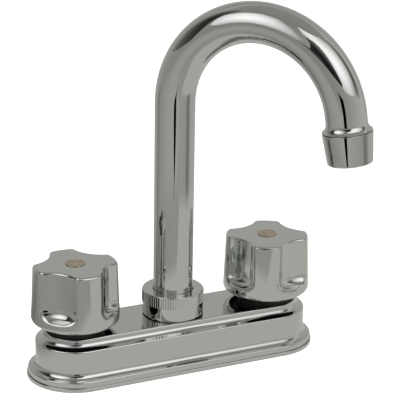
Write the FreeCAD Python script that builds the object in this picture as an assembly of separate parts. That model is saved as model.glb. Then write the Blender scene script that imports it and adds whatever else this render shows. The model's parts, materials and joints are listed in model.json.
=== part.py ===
import FreeCAD, Part
import math
import os

# Gooseneck bar faucet: a low racetrack base with a hot and a cold valve, two four-lobed metal
# knobs, and a swivelling gooseneck spout held by a knurled nut.
# Millimetres, +Z up. The origin is on the spout axis, in the plane of the sink deck. X runs
# along the base, hot valve at -X and cold valve at +X, and -Y is the front.

Vector = FreeCAD.Vector
ORIGIN = Vector(0, 0, 0)
AXIS_X = Vector(1, 0, 0)
AXIS_Y = Vector(0, 1, 0)
AXIS_Z = Vector(0, 0, 1)
FULL_TURN = 360.0
SIDES = {"hot": -1, "cold": 1}

# ---------------------------------------------------------------- clearances
running_gap = 0.10         # radial play of a turning fit
seat_gap = 0.05            # play between two pieces that are put together once
lift_gap = 0.10            # end play of a turning piece over the face that carries it
cut_over = 1.0             # how far a cutting tool runs past the face it opens

# ---------------------------------------------------------------- base cover
valve_spacing = 101.6      # between the two valve axes, the usual four inches
cover_height = 23.2
wall_radius = 19.2         # half the width over the upright wall
upper_cove = 3.1           # radius of the cove from the upright wall up to the flat top
shoulder_ledge = 0.4       # flat between the wall's rounded edge and the upper cove
shoulder_round = 0.7
crown_round = 0.8          # rounded edge of the flat top
flange_radius = 22.8       # half the width over the foot
flange_height = 5.1
flange_round = 0.4
lip_height = 2.4           # thin lip that stands proud at the very bottom
lip_proud = 0.6
cover_wall = 2.3
crown_wall = 1.4           # metal between the upper cove and the pocket behind it
cover_roof = 3.0
gasket_thickness = 2.4
gasket_rim = 2.6           # width of the cover's own rim round the gasket

# ---------------------------------------------------------------- valve bodies and plumbing
casting_gap = 0.6          # between the cover's pocket and the castings in it
shank_radius = 10.45       # half-inch pipe thread, over the crests
shank_length = 45.0        # below the deck
supply_thread_length = 21.0    # lower end of the shank, for the supply pipe's nut
waist_width = 1.5          # plain waist between the two threads of the shank
waist_depth = 0.8
inlet_radius = 5.6
valve_bore_radius = 9.0    # the cartridge drops into this bore
neck_radius = 11.2         # threaded neck that comes up through the cover
cross_radius = 5.0
cross_wall = 1.0
cross_socket = 2.5         # how deep a cross tube is let into the casting at each end

# ---------------------------------------------------------------- deck fixings
deck_gap = 12.0            # room for the sink deck between the gasket and the washers
washer_radius = 17.5
washer_thickness = 1.6
nut_width = 32.0           # across the flats
nut_height = 8.0
thread_play = 0.15         # between a thread drawn as a plain shank and the nut on it

# ---------------------------------------------------------------- cartridge
seal_thickness = 2.0
seal_wall = 1.6
disc_radius = 7.3
fixed_disc_thickness = 3.0
moving_disc_thickness = 2.5
disc_port_radius = 2.0     # round ports through both discs
disc_port_offset = 4.2
disc_ports = 2
drive_thickness = 2.2      # flange of the stem that turns the moving disc
tab_width = 3.0
tab_depth = 1.3
chamber_height = 5.0       # free height over the drive flange
chamber_depth = 9.2        # from the neck's rim down to the roof of that chamber
window_width = 7.0
window_height = 7.5
hex_width = 19.0           # across the flats of the cartridge's head
hex_height = 4.0
ring_section = 0.95        # thickness of the small O-rings
ring_flats = 8             # an O-ring's round section is drawn with this many flats
stem_radius = 4.0
stem_ring_drop = 3.0       # from the roof of the chamber up to the stem's O-ring
shell_ring_drop = 4.0      # from the neck's rim down to the cartridge's O-ring
clip_thickness = 0.8
clip_depth = 0.8
clip_reach = 1.6
clip_opening = 60.0        # degrees left open in the spring clip

# ---------------------------------------------------------------- lock rings under the knobs
lock_ring_radius = 14.0
lock_ring_height = 5.8
lock_ring_chamfer = 0.6

# ---------------------------------------------------------------- knobs
knob_gap = 4.4             # from the cover up to the rim of the knob
knob_height = 28.4
knob_top_radius = 20.1
knob_skirt_radius = 21.1
knob_foot_round = 2.6      # rounded lower edge
knob_top_round = 1.0
lobe_round = 1.5           # along the lips of the flutes
flute_count = 4
flute_radius = 15.8
flute_floor = 15.1         # from the knob's axis to the floor of a flute
flute_stop = 5.1           # from the knob's rim up to the lower end of a flute
flute_end_round = 3.5      # how roundly a flute runs out below
knob_cup_radius = 18.0     # hollow under the knob, round the lock ring
knob_bore_play = 0.8       # round the cartridge's head
knob_cup_lift = 1.4        # over the lock ring and over the spring clip
spline_count = 16
spline_depth = 0.6
knob_web = 2.0             # metal under the screw's head
screw_radius = 2.1
screw_length = 8.0
screw_head_radius = 3.8
screw_head_height = 2.4
screw_slot = 0.9
button_radius = 4.75
button_thickness = 2.4     # at its edge
button_crown = 0.6         # rise of its domed face
button_edge = 0.1          # how far its edge stands above the knob's top
knob_angle = {"hot": -2.0, "cold": -28.0}   # degrees about +Z, of the lobe that faces the front

# ---------------------------------------------------------------- spout hub and nut
hub_floor = 3.0
hub_chamber_radius = 8.5
hub_bore_radius = 10.75
hub_neck_radius = 12.3
hub_shoulder = 1.0         # from the top of the cross tubes up to the seat of the spout
bearing_height = 1.8
spout_nut_radius = 15.0
spout_nut_height = 12.6
spout_nut_lip = 3.9        # thickness of the inward lip that holds the spout down
spout_nut_round = 0.5
spout_nut_relief = 0.8     # small step at its foot

# ---------------------------------------------------------------- spout
tube_radius = 9.525        # three-quarter inch tube
tube_wall = 1.2
bend_radius = 43.45
bend_height = 129.0        # start of the bend above the deck
bend_sweep = 172.0         # degrees
spout_angle = 36.7         # degrees about +Z, from straight ahead, as photographed
sleeve_length = 12.9
sleeve_socket = 6.5        # how deep the tube sits in the sleeve
sleeve_passage_radius = 7.6
spout_ring_section = 1.7
spout_ring_pitch = 3.4     # between the two O-rings
spout_ring_margin = 1.9    # from the sleeve's lower end to the middle of the first O-ring

# ---------------------------------------------------------------- outlet
tail_length = 2.8          # straight tube after the bend
spigot_length = 2.4
spigot_wall = 1.5
flare_radius = 11.5
flare_length = 3.8
flare_edge = 0.4
outlet_thread_radius = 9.7
outlet_thread_length = 6.0
seam = 0.25                # fine gap between the flare and the aerator
aerator_top_radius = 11.65
aerator_end_radius = 10.45
aerator_length = 14.6
aerator_round = 1.0
aerator_mouth_radius = 8.2
aerator_lip = 1.3
aerator_gasket_thickness = 1.6
gasket_ring_width = 3.0
insert_flange = 1.4
insert_wall = 0.9
insert_plate = 1.2
spray_holes = 10
spray_hole_radius = 0.7
spray_ring_radius = 5.0
screen_thickness = 0.6
screen_pitch = 2.0
screen_bar = 0.6

# ---------------------------------------------------------------- heights worked out from these
half_spacing = valve_spacing / 2
cover_ceiling = cover_height - cover_roof
ledge_end = wall_radius - shoulder_round - shoulder_ledge
shoulder_height = cover_height - crown_round - upper_cove
crown_radius = ledge_end - upper_cove
pocket_radius = crown_radius - crown_wall
body_radius = pocket_radius - casting_gap
neck_top = cover_height + lock_ring_height
chamber_roof = neck_top - chamber_depth
drive_top = chamber_roof - chamber_height
drive_base = drive_top - drive_thickness
moving_disc_base = drive_base - moving_disc_thickness
fixed_disc_base = moving_disc_base - lift_gap - fixed_disc_thickness
pocket_floor = fixed_disc_base - seal_thickness
shell_radius = valve_bore_radius - seat_gap
hex_top = neck_top + hex_height
clip_base = hex_top + lift_gap
knob_bore_base = clip_base + clip_thickness + knob_cup_lift
knob_base = cover_height + knob_gap
knob_top = knob_base + knob_height
button_base = knob_top + button_edge - button_thickness
screw_seat = button_base - screw_head_height
stem_top = screw_seat - knob_web
spout_nut_top = cover_height + spout_nut_height
sleeve_shoulder = spout_nut_top - spout_nut_lip - bearing_height - lift_gap
sleeve_base = sleeve_shoulder - sleeve_length
spout_seat = sleeve_base - lift_gap
cross_height = spout_seat - hub_shoulder - cross_radius


# ---------------------------------------------------------------- small helpers
def corner(radius, height):
    """A point of a half section: distance from the axis, and height."""
    return Vector(radius, 0, height)


def on_arc(centre, radius, degrees):
    """A point of a circle in a half section."""
    angle = math.radians(degrees)
    return centre + Vector(radius * math.cos(angle), 0, radius * math.sin(angle))


def section(*steps):
    """A closed face from points; a step that is a pair goes to its second point by an arc."""
    edges = []
    here = steps[0]
    for step in steps[1:] + (steps[0],):
        if isinstance(step, tuple):
            edges.append(Part.Arc(here, step[0], step[1]).toShape())
            here = step[1]
        else:
            edges.append(Part.LineSegment(here, step).toShape())
            here = step
    return Part.Face(Part.Wire(edges))


def turned_solid(*steps):
    """A solid of revolution about Z."""
    return section(*steps).revolve(ORIGIN, AXIS_Z, FULL_TURN)


def rod(radius, low, high):
    return Part.makeCylinder(radius, high - low, Vector(0, 0, low))


def pipe(outer, inner, low, high):
    """A plain ring or tube about Z."""
    return rod(outer, low, high).cut(rod(inner, low - cut_over, high + cut_over))


def hexagon(width, low, high):
    """A hexagonal prism, given its width across the flats."""
    reach = width / math.sqrt(3)
    points = [Vector(reach * math.cos(math.radians(60 * k)), reach * math.sin(math.radians(60 * k)), low)
              for k in range(7)]
    return Part.Face(Part.makePolygon(points)).extrude(Vector(0, 0, high - low))


def splined(tip, count, depth, low, high):
    """A prism with pointed splines round it."""
    points = []
    for k in range(2 * count + 1):
        reach = tip - depth * (k % 2)
        angle = math.pi * k / count
        points.append(Vector(reach * math.cos(angle), reach * math.sin(angle), low))
    return Part.Face(Part.makePolygon(points)).extrude(Vector(0, 0, high - low))


def groove(outer, depth, thickness, height):
    """The tool that turns a square groove round a shaft; height is the groove's middle."""
    half = thickness / 2 + seat_gap
    return pipe(outer + cut_over, outer - depth, height - half, height + half)


def o_ring(inner, thickness, height):
    """An O-ring that lies in a groove of the given inner radius."""
    centre = corner(inner + seat_gap + thickness / 2, height)
    turns = [FULL_TURN * (k + 0.5) / ring_flats for k in range(ring_flats)]
    return turned_solid(*[on_arc(centre, thickness / 2, turn) for turn in turns])


def slab(length, width, low, high):
    """A block centred on the Z axis."""
    return Part.makeBox(length, width, high - low, Vector(-length / 2, -width / 2, low))


def around(shape, count, start=0.0):
    """Copies of a shape, evenly spaced about Z."""
    return [shape.rotated(ORIGIN, AXIS_Z, start + FULL_TURN * k / count) for k in range(count)]


def racetrack(half_section):
    """Carries a half section round a racetrack whose ends turn on the two valve axes."""
    side = half_section.rotated(ORIGIN, AXIS_Z, 90).translated(Vector(-half_spacing, 0, 0))
    run = side.extrude(Vector(valve_spacing, 0, 0))
    left = side.revolve(Vector(-half_spacing, 0, 0), AXIS_Z, 180)
    half = run.fuse(left)
    return half.fuse(half.rotated(ORIGIN, AXIS_Z, 180)).removeSplitter()


def at_valve(shape, side):
    """Moves a piece made about Z to its valve; the cold side faces the other way."""
    if side == "cold":
        shape = shape.rotated(ORIGIN, AXIS_Z, 180)
    return shape.translated(Vector(SIDES[side] * half_spacing, 0, 0))


def with_knob(shape, side):
    """Moves a piece that turns with the knob to its valve, at the knob's own angle."""
    shape = shape.rotated(ORIGIN, AXIS_Z, knob_angle[side])
    return shape.translated(Vector(SIDES[side] * half_spacing, 0, 0))


def with_spout(shape):
    """Turns a piece made in the XZ plane, spout towards +X, to the photographed swing."""
    return shape.rotated(ORIGIN, AXIS_Z, spout_angle - 90)


def at_outlet(shape):
    """Moves a piece made about Z, hanging down from the origin, to the end of the bend."""
    sweep = math.radians(bend_sweep)
    end = Vector(bend_radius * (1 - math.cos(sweep)), 0, bend_height + bend_radius * math.sin(sweep))
    return with_spout(shape.rotated(ORIGIN, AXIS_Y, bend_sweep - 180).translated(end))


# ---------------------------------------------------------------- base
def cover_section():
    """Outer half section of the base: lip, foot, lower cove, wall, ledge, upper cove, flat top."""
    foot_edge = flange_radius - flange_round
    cove = foot_edge - wall_radius
    foot_centre = corner(foot_edge, flange_height - flange_round)
    cove_centre = corner(foot_edge, flange_height + cove)
    wall_centre = corner(wall_radius - shoulder_round, shoulder_height - shoulder_round)
    upper_centre = corner(ledge_end, shoulder_height + upper_cove)
    crown_centre = corner(crown_radius - crown_round, cover_height - crown_round)
    return section(
        corner(0, 0),
        corner(flange_radius + lip_proud, 0),
        corner(flange_radius + lip_proud, lip_height),
        corner(flange_radius, lip_height + lip_proud / 2),
        corner(flange_radius, flange_height - flange_round),
        (on_arc(foot_centre, flange_round, 45), corner(foot_edge, flange_height)),
        (on_arc(cove_centre, cove, 225), corner(wall_radius, flange_height + cove)),
        corner(wall_radius, shoulder_height - shoulder_round),
        (on_arc(wall_centre, shoulder_round, 45), corner(wall_radius - shoulder_round, shoulder_height)),
        corner(ledge_end, shoulder_height),
        (on_arc(upper_centre, upper_cove, 225), corner(crown_radius, cover_height - crown_round)),
        (on_arc(crown_centre, crown_round, 45), corner(crown_radius - crown_round, cover_height)),
        corner(0, cover_height),
    )


def block_section(radius, low, high):
    return section(corner(0, low), corner(radius, low), corner(radius, high), corner(0, high))


def pocket_section():
    """Hollow of the cover, stepped in at the top to keep clear of the upper cove."""
    step = shoulder_height - cover_wall
    return section(
        corner(0, -cut_over),
        corner(wall_radius - cover_wall, -cut_over),
        corner(wall_radius - cover_wall, step),
        corner(pocket_radius, step),
        corner(pocket_radius, cover_ceiling),
        corner(0, cover_ceiling),
    )


def base_cover():
    """Hollow cast cover, open below, with holes for the two necks and the spout hub."""
    cover = racetrack(cover_section())
    cover = cover.cut(racetrack(pocket_section()))
    cover = cover.cut(racetrack(block_section(flange_radius - gasket_rim, -cut_over, gasket_thickness)))
    for side in SIDES:
        hole = rod(neck_radius + seat_gap, cover_ceiling - cut_over, cover_height + cut_over)
        cover = cover.cut(at_valve(hole, side))
    return cover.cut(rod(hub_neck_radius + seat_gap, cover_ceiling - cut_over, cover_height + cut_over))


def base_gasket():
    """Flat pad let into the cover's underside, with a hole for each shank."""
    pad = racetrack(block_section(flange_radius - gasket_rim - seat_gap, 0, gasket_thickness))
    for side in SIDES:
        hole = rod(shank_radius + thread_play, -cut_over, gasket_thickness + cut_over)
        pad = pad.cut(at_valve(hole, side))
    return pad


# ---------------------------------------------------------------- waterway
def cross_bore(from_x, to_x, radius):
    return Part.makeCylinder(radius, to_x - from_x, Vector(from_x, 0, cross_height), AXIS_X)


def valve_body():
    """Cast valve body with its inlet shank; its port faces +X."""
    body = rod(shank_radius, -shank_length, gasket_thickness)
    waist = supply_thread_length - shank_length
    body = body.cut(pipe(shank_radius + cut_over, shank_radius - waist_depth, waist, waist + waist_width))
    body = body.fuse(rod(body_radius, gasket_thickness, cover_ceiling))
    body = body.fuse(rod(neck_radius, cover_ceiling, neck_top))
    body = body.cut(rod(inlet_radius, -shank_length - cut_over, pocket_floor + cut_over))
    body = body.cut(rod(valve_bore_radius, pocket_floor, neck_top + cut_over))
    socket_start = body_radius - cross_socket
    body = body.cut(cross_bore(0, body_radius + cut_over, cross_radius - cross_wall))
    return body.cut(cross_bore(socket_start, body_radius + cut_over, cross_radius + seat_gap))


def cross_tube():
    """Tube from a valve body to the spout hub, made between the two sockets on the hot side."""
    start = -half_spacing + body_radius - cross_socket
    end = -body_radius + cross_socket
    tube = cross_bore(start, end, cross_radius)
    return tube.cut(cross_bore(start - cut_over, end + cut_over, cross_radius - cross_wall))


def spout_hub():
    """Centre body that takes both cross tubes and carries the swivelling spout."""
    hub = rod(body_radius, gasket_thickness, cover_ceiling)
    hub = hub.fuse(rod(hub_neck_radius, cover_ceiling, sleeve_shoulder + lift_gap))
    hub = hub.cut(rod(hub_chamber_radius, gasket_thickness + hub_floor, spout_nut_top))
    hub = hub.cut(rod(hub_bore_radius, spout_seat, spout_nut_top))
    hub = hub.cut(cross_bore(-body_radius - cut_over, body_radius + cut_over, cross_radius - cross_wall))
    for sign in SIDES.values():
        inner = body_radius - cross_socket
        socket = cross_bore(inner, body_radius + cut_over, cross_radius + seat_gap)
        hub = hub.cut(socket.rotated(ORIGIN, AXIS_Z, 90 * (1 - sign)))
    return hub


def deck_washer():
    top = -deck_gap
    return pipe(washer_radius, shank_radius + thread_play, top - washer_thickness, top)


def mounting_nut():
    top = -deck_gap - washer_thickness
    nut = hexagon(nut_width, top - nut_height, top)
    return nut.cut(rod(shank_radius + thread_play, top - nut_height - cut_over, top + cut_over))


# ---------------------------------------------------------------- valve cartridge
def seat_seal():
    return pipe(disc_radius, disc_radius - seal_wall, pocket_floor, fixed_disc_base)


def ported_disc(low, high):
    """Ceramic disc with round ports."""
    port = rod(disc_port_radius, low - cut_over, high + cut_over)
    ports = around(port.translated(Vector(0, disc_port_offset, 0)), disc_ports)
    return rod(disc_radius, low, high).cut(ports)


def fixed_disc():
    return ported_disc(fixed_disc_base, fixed_disc_base + fixed_disc_thickness)


def moving_disc():
    """Upper ceramic disc; a slot across its back takes the stem's two tabs."""
    disc = ported_disc(moving_disc_base, drive_base).rotated(ORIGIN, AXIS_Z, 90)
    slot_floor = drive_base - tab_depth
    slot = slab(2 * disc_radius + cut_over, tab_width + 2 * seat_gap, slot_floor, drive_base + cut_over)
    return disc.cut(slot.cut(rod(stem_radius, slot_floor - cut_over, drive_base + 2 * cut_over)))


def cartridge():
    """Brass shell with a hexagonal head, two water windows and a groove for its O-ring."""
    shell = rod(shell_radius, fixed_disc_base, neck_top)
    shell = shell.fuse(hexagon(hex_width, neck_top, hex_top))
    shell = shell.cut(rod(disc_radius + running_gap, fixed_disc_base - cut_over, chamber_roof))
    shell = shell.cut(rod(stem_radius + running_gap, fixed_disc_base, hex_top + cut_over))
    through = 2 * valve_bore_radius
    shell = shell.cut(slab(through, window_width, moving_disc_base, moving_disc_base + window_height))
    return shell.cut(groove(shell_radius, ring_section, ring_section, neck_top - shell_ring_drop))


def cartridge_o_ring():
    return o_ring(shell_radius - ring_section, ring_section - seat_gap, neck_top - shell_ring_drop)


def stem():
    """Brass stem: drive flange with two tabs, plain shaft, splined top and a tapped hole."""
    body = rod(disc_radius - running_gap, drive_base, drive_top)
    port = rod(disc_port_radius, drive_base - cut_over, drive_top + cut_over)
    body = body.cut(around(port.translated(Vector(disc_port_offset, 0, 0)), disc_ports, 90))
    tab_end = drive_base - tab_depth + seat_gap
    tabs = slab(2 * disc_radius, tab_width, tab_end, drive_base)
    tabs = tabs.common(pipe(disc_radius - running_gap, stem_radius + seat_gap, tab_end, drive_base))
    body = body.fuse(tabs)
    spline_base = knob_bore_base - knob_cup_lift / 2
    body = body.fuse(rod(stem_radius, drive_top, spline_base))
    body = body.fuse(splined(stem_radius, spline_count, spline_depth, spline_base, stem_top))
    body = body.cut(groove(stem_radius, ring_section, ring_section, chamber_roof + stem_ring_drop))
    body = body.cut(groove(stem_radius, clip_depth, clip_thickness, clip_base + clip_thickness / 2))
    return body.cut(rod(screw_radius + seat_gap, screw_seat - screw_length - cut_over, stem_top + cut_over))


def stem_o_ring():
    return o_ring(stem_radius - ring_section, ring_section - seat_gap, chamber_roof + stem_ring_drop)


def stem_clip():
    """Open spring clip that keeps the stem from dropping."""
    inner = stem_radius - clip_depth + seat_gap
    ring = pipe(stem_radius + clip_reach, inner, clip_base, clip_base + clip_thickness)
    reach = stem_radius + clip_reach + cut_over
    half = math.radians(clip_opening / 2)
    low = clip_base - cut_over
    wedge = Part.Face(Part.makePolygon([
        Vector(0, 0, low),
        Vector(reach, -reach * math.tan(half), low),
        Vector(reach, reach * math.tan(half), low),
        Vector(0, 0, low),
    ]))
    return ring.cut(wedge.extrude(Vector(0, 0, clip_thickness + 2 * cut_over)))


def lock_ring():
    """Black ring nut that clamps the cover to the valve's neck; it shows under the knob."""
    inner = neck_radius + thread_play
    shoulder = lock_ring_radius - lock_ring_chamfer
    return turned_solid(
        corner(inner, cover_height),
        corner(lock_ring_radius, cover_height),
        corner(lock_ring_radius, neck_top - lock_ring_chamfer),
        corner(shoulder, neck_top),
        corner(inner, neck_top),
    )


# ---------------------------------------------------------------- knob
def knob_blank():
    """Plain turned knob: flat top, slightly tapered side and a rounded lower edge."""
    foot_centre = corner(knob_skirt_radius - knob_foot_round, knob_base + knob_foot_round)
    return turned_solid(
        corner(0, knob_base),
        corner(knob_skirt_radius - knob_foot_round, knob_base),
        (on_arc(foot_centre, knob_foot_round, -45), corner(knob_skirt_radius, knob_base + knob_foot_round)),
        corner(knob_top_radius, knob_top),
        corner(0, knob_top),
    )


def flute_cutter():
    """One flute: an upright cylinder whose lower end is rounded like a cutter's nose."""
    low = knob_base + flute_stop
    high = knob_top + cut_over
    round_centre = corner(flute_radius - flute_end_round, low + flute_end_round)
    cutter = turned_solid(
        corner(0, low),
        corner(flute_radius - flute_end_round, low),
        (on_arc(round_centre, flute_end_round, -45), corner(flute_radius, low + flute_end_round)),
        corner(flute_radius, high),
        corner(0, high),
    )
    return cutter.translated(Vector(flute_floor + flute_radius, 0, 0))


def lip_edges(shape):
    """The lips of the flutes: up both sides and round the lower end, but not across the flat top."""
    reach = knob_top_radius - lobe_round
    edges = []
    for edge in shape.Edges:
        middle = edge.valueAt((edge.FirstParameter + edge.LastParameter) / 2)
        outside = math.hypot(middle.x, middle.y) > reach
        below_top = edge.BoundBox.ZMin < knob_top - knob_top_round
        above_skirt = edge.BoundBox.ZMin > knob_base + knob_foot_round
        if outside and below_top and above_skirt:
            edges.append(edge)
    return edges


def top_edges(shape):
    """The outline of the flat top."""
    return [edge for edge in shape.Edges if edge.BoundBox.ZMin > knob_top - seat_gap]


def knob():
    """Four-lobed knob, hollow below, with a splined bore and a pocket for screw and button."""
    body = knob_blank().cut(around(flute_cutter(), flute_count, -90 + 180 / flute_count))
    body = body.makeFillet(lobe_round, lip_edges(body))
    body = body.makeFillet(knob_top_round, top_edges(body))
    cup_top = neck_top + knob_cup_lift
    inner_radius = hex_width / math.sqrt(3) + knob_bore_play
    pocket = button_radius + seat_gap
    body = body.cut(rod(knob_cup_radius, knob_base - cut_over, cup_top))
    body = body.cut(rod(inner_radius, cup_top - cut_over, knob_bore_base))
    bore_start = knob_bore_base - cut_over
    body = body.cut(splined(stem_radius + seat_gap, spline_count, spline_depth, bore_start, stem_top))
    body = body.cut(rod(screw_radius + seat_gap, stem_top - cut_over, screw_seat + cut_over))
    return body.cut(rod(pocket, screw_seat, knob_top + cut_over))


def knob_screw():
    """Slotted screw that holds the knob on the stem."""
    screw = rod(screw_radius, screw_seat - screw_length, screw_seat)
    screw = screw.fuse(rod(screw_head_radius, screw_seat, button_base))
    slot_floor = button_base - screw_head_height / 2
    return screw.cut(slab(2 * screw_head_radius + cut_over, screw_slot, slot_floor, button_base + cut_over))


def index_button():
    """Round button with a slightly domed face, pressed into the knob over the screw."""
    edge = knob_top + button_edge
    rim = (button_crown ** 2 + button_radius ** 2) / (2 * button_crown)
    middle = math.degrees(math.asin(button_radius / rim)) / 2
    centre = corner(0, edge + button_crown - rim)
    return turned_solid(
        corner(0, button_base),
        corner(button_radius, button_base),
        corner(button_radius, edge),
        (on_arc(centre, rim, 90 - middle), corner(0, edge + button_crown)),
    )


# ---------------------------------------------------------------- spout
def spout_nut():
    """Nut over the hub's neck; its inward lip holds the spout down and lets it turn."""
    lip_base = spout_nut_top - spout_nut_lip
    face_edge = spout_nut_radius - spout_nut_round
    round_centre = corner(face_edge, spout_nut_top - spout_nut_round)
    bore = tube_radius + 2 * running_gap
    thread = hub_neck_radius + thread_play
    return turned_solid(
        corner(thread, cover_height),
        corner(spout_nut_radius - spout_nut_relief, cover_height),
        corner(spout_nut_radius - spout_nut_relief, cover_height + spout_nut_relief),
        corner(spout_nut_radius, cover_height + spout_nut_relief),
        corner(spout_nut_radius, spout_nut_top - spout_nut_round),
        (on_arc(round_centre, spout_nut_round, 45), corner(face_edge, spout_nut_top)),
        corner(bore, spout_nut_top),
        corner(bore, lip_base),
        corner(thread, lip_base),
    )


def spout_bearing_ring():
    """Slippery ring between the spout's shoulder and the nut's lip."""
    low = sleeve_shoulder + lift_gap
    return pipe(hub_bore_radius - seat_gap, tube_radius + running_gap, low, spout_nut_top - spout_nut_lip)


def spout_sleeve():
    """Brass sleeve brazed on the foot of the tube; it turns in the hub on two O-rings."""
    outer = hub_bore_radius - running_gap
    sleeve = pipe(outer, sleeve_passage_radius, sleeve_base, sleeve_shoulder)
    socket_floor = sleeve_shoulder - sleeve_socket
    sleeve = sleeve.cut(rod(tube_radius + seat_gap, socket_floor, sleeve_shoulder + cut_over))
    for height in spout_ring_heights():
        sleeve = sleeve.cut(groove(outer, spout_ring_section, spout_ring_section, height))
    return sleeve


def spout_ring_heights():
    first = sleeve_base + spout_ring_margin
    return first, first + spout_ring_pitch


def spout_o_ring(height):
    inner = hub_bore_radius - running_gap - spout_ring_section
    return o_ring(inner, spout_ring_section - seat_gap, height)


def gooseneck(radius, start, tail):
    """A bent rod: upright part, the big bend and a short straight tail, towards +X."""
    foot = Part.Face(Part.Wire(Part.makeCircle(radius, Vector(0, 0, start), AXIS_Z)))
    upright = foot.extrude(Vector(0, 0, bend_height - start))
    ring = Part.Face(Part.Wire(Part.makeCircle(radius, Vector(0, 0, bend_height), AXIS_Z)))
    bend = ring.revolve(Vector(bend_radius, 0, bend_height), AXIS_Y, bend_sweep)
    sweep = math.radians(bend_sweep)
    end = Vector(bend_radius * (1 - math.cos(sweep)), 0, bend_height + bend_radius * math.sin(sweep))
    along = Vector(math.sin(sweep), 0, math.cos(sweep))
    straight = Part.makeCylinder(radius, tail, end, along)
    return upright.fuse([bend, straight])


def spout_tube():
    foot = sleeve_shoulder - sleeve_socket
    tube = gooseneck(tube_radius, foot, tail_length)
    tube = tube.cut(gooseneck(tube_radius - tube_wall, foot - cut_over, tail_length + cut_over))
    return with_spout(tube)


# ---------------------------------------------------------------- outlet and aerator
# These hang down from the origin, which stands for the end of the bend.
def outlet_levels():
    """Distances below the end of the bend: flare's end, thread's end, gasket's end."""
    flare_end = -(tail_length + flare_length)
    thread_end = flare_end - outlet_thread_length
    return flare_end, thread_end, thread_end - aerator_gasket_thickness


def outlet_fitting():
    """Brazed end fitting: spigot in the tube, concave flare outside, thread for the aerator."""
    flare_end, thread_end, _ = outlet_levels()
    spigot = tube_radius - tube_wall - seat_gap
    passage = spigot - spigot_wall
    spread = flare_radius - tube_radius
    drop = flare_length - flare_edge
    bow = (spread ** 2 + drop ** 2) / (2 * spread)
    centre = corner(tube_radius + bow, -tail_length)
    half_bend = math.degrees(math.asin(drop / bow)) / 2
    return turned_solid(
        corner(passage, spigot_length - tail_length),
        corner(spigot, spigot_length - tail_length),
        corner(spigot, -tail_length),
        corner(tube_radius, -tail_length),
        (on_arc(centre, bow, 180 + half_bend), corner(flare_radius, flare_end + flare_edge)),
        corner(flare_radius, flare_end),
        corner(outlet_thread_radius, flare_end),
        corner(outlet_thread_radius, thread_end),
        corner(passage, thread_end),
    )


def aerator_shell():
    """Tapered chromed collar with an inward lip at its mouth."""
    flare_end, thread_end, gasket_end = outlet_levels()
    top = flare_end - seam
    end = top - aerator_length
    bore = outlet_thread_radius + thread_play
    round_centre = corner(aerator_end_radius - aerator_round, end + aerator_round)
    return turned_solid(
        corner(bore, top),
        corner(aerator_top_radius, top),
        corner(aerator_end_radius, end + aerator_round),
        (on_arc(round_centre, aerator_round, -45), corner(aerator_end_radius - aerator_round, end)),
        corner(aerator_mouth_radius, end),
        corner(aerator_mouth_radius, end + aerator_lip),
        corner(aerator_mouth_radius + seam, end + aerator_lip),
        corner(aerator_mouth_radius + seam, gasket_end - insert_flange),
        corner(bore, gasket_end - insert_flange),
    )


def aerator_gasket():
    _, thread_end, gasket_end = outlet_levels()
    outer = outlet_thread_radius
    return pipe(outer, outer - gasket_ring_width, gasket_end, thread_end)


def aerator_insert():
    """Plastic cup with a ring of small spray holes through its plate."""
    flare_end, _, gasket_end = outlet_levels()
    cup_end = flare_end - seam - aerator_length + aerator_lip + screen_thickness
    cup = rod(outlet_thread_radius, gasket_end - insert_flange, gasket_end)
    cup = cup.fuse(rod(aerator_mouth_radius, cup_end, gasket_end - insert_flange))
    cup = cup.cut(rod(aerator_mouth_radius - insert_wall, cup_end - cut_over, gasket_end - insert_plate))
    hole = rod(spray_hole_radius, cup_end - cut_over, gasket_end + cut_over)
    return cup.cut(around(hole.translated(Vector(spray_ring_radius, 0, 0)), spray_holes))


def aerator_screen():
    """Round grating that closes the mouth, carried by the collar's lip."""
    flare_end, _, _ = outlet_levels()
    low = flare_end - seam - aerator_length + aerator_lip
    high = low + screen_thickness
    plate = rod(aerator_mouth_radius + seam - seat_gap, low, high)
    hole_width = screen_pitch - screen_bar
    hole = slab(hole_width, hole_width, low - cut_over, high + cut_over)
    reach = aerator_mouth_radius - insert_wall
    steps = int(reach / screen_pitch)
    half_diagonal = hole_width / math.sqrt(2)
    holes = []
    for i in range(-steps, steps + 1):
        for j in range(-steps, steps + 1):
            if screen_pitch * math.hypot(i, j) + half_diagonal < reach:
                holes.append(hole.translated(Vector(screen_pitch * i, screen_pitch * j, 0)))
    return plate.cut(holes)


# ---------------------------------------------------------------- the whole faucet
def fixed_pieces():
    pieces = {
        "base_cover": base_cover(),
        "base_gasket": base_gasket(),
        "spout_hub": spout_hub(),
        "spout_nut": spout_nut(),
        "spout_bearing_ring": spout_bearing_ring(),
    }
    tube = cross_tube()
    pieces["hot_cross_tube"] = tube
    pieces["cold_cross_tube"] = tube.rotated(ORIGIN, AXIS_Z, 180)
    makers = {
        "valve_body": valve_body,
        "deck_washer": deck_washer,
        "mounting_nut": mounting_nut,
        "seat_seal": seat_seal,
        "fixed_disc": fixed_disc,
        "cartridge": cartridge,
        "cartridge_o_ring": cartridge_o_ring,
        "lock_ring": lock_ring,
    }
    for name, make in makers.items():
        shape = make()
        for side in SIDES:
            pieces[side + "_" + name] = at_valve(shape, side)
    return pieces


def knob_pieces():
    pieces = {}
    makers = {
        "knob": knob,
        "stem": stem,
        "moving_disc": moving_disc,
        "stem_o_ring": stem_o_ring,
        "stem_clip": stem_clip,
        "knob_screw": knob_screw,
        "index_button": index_button,
    }
    for name, make in makers.items():
        shape = make()
        for side in SIDES:
            pieces[side + "_" + name] = with_knob(shape, side)
    return pieces


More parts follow.
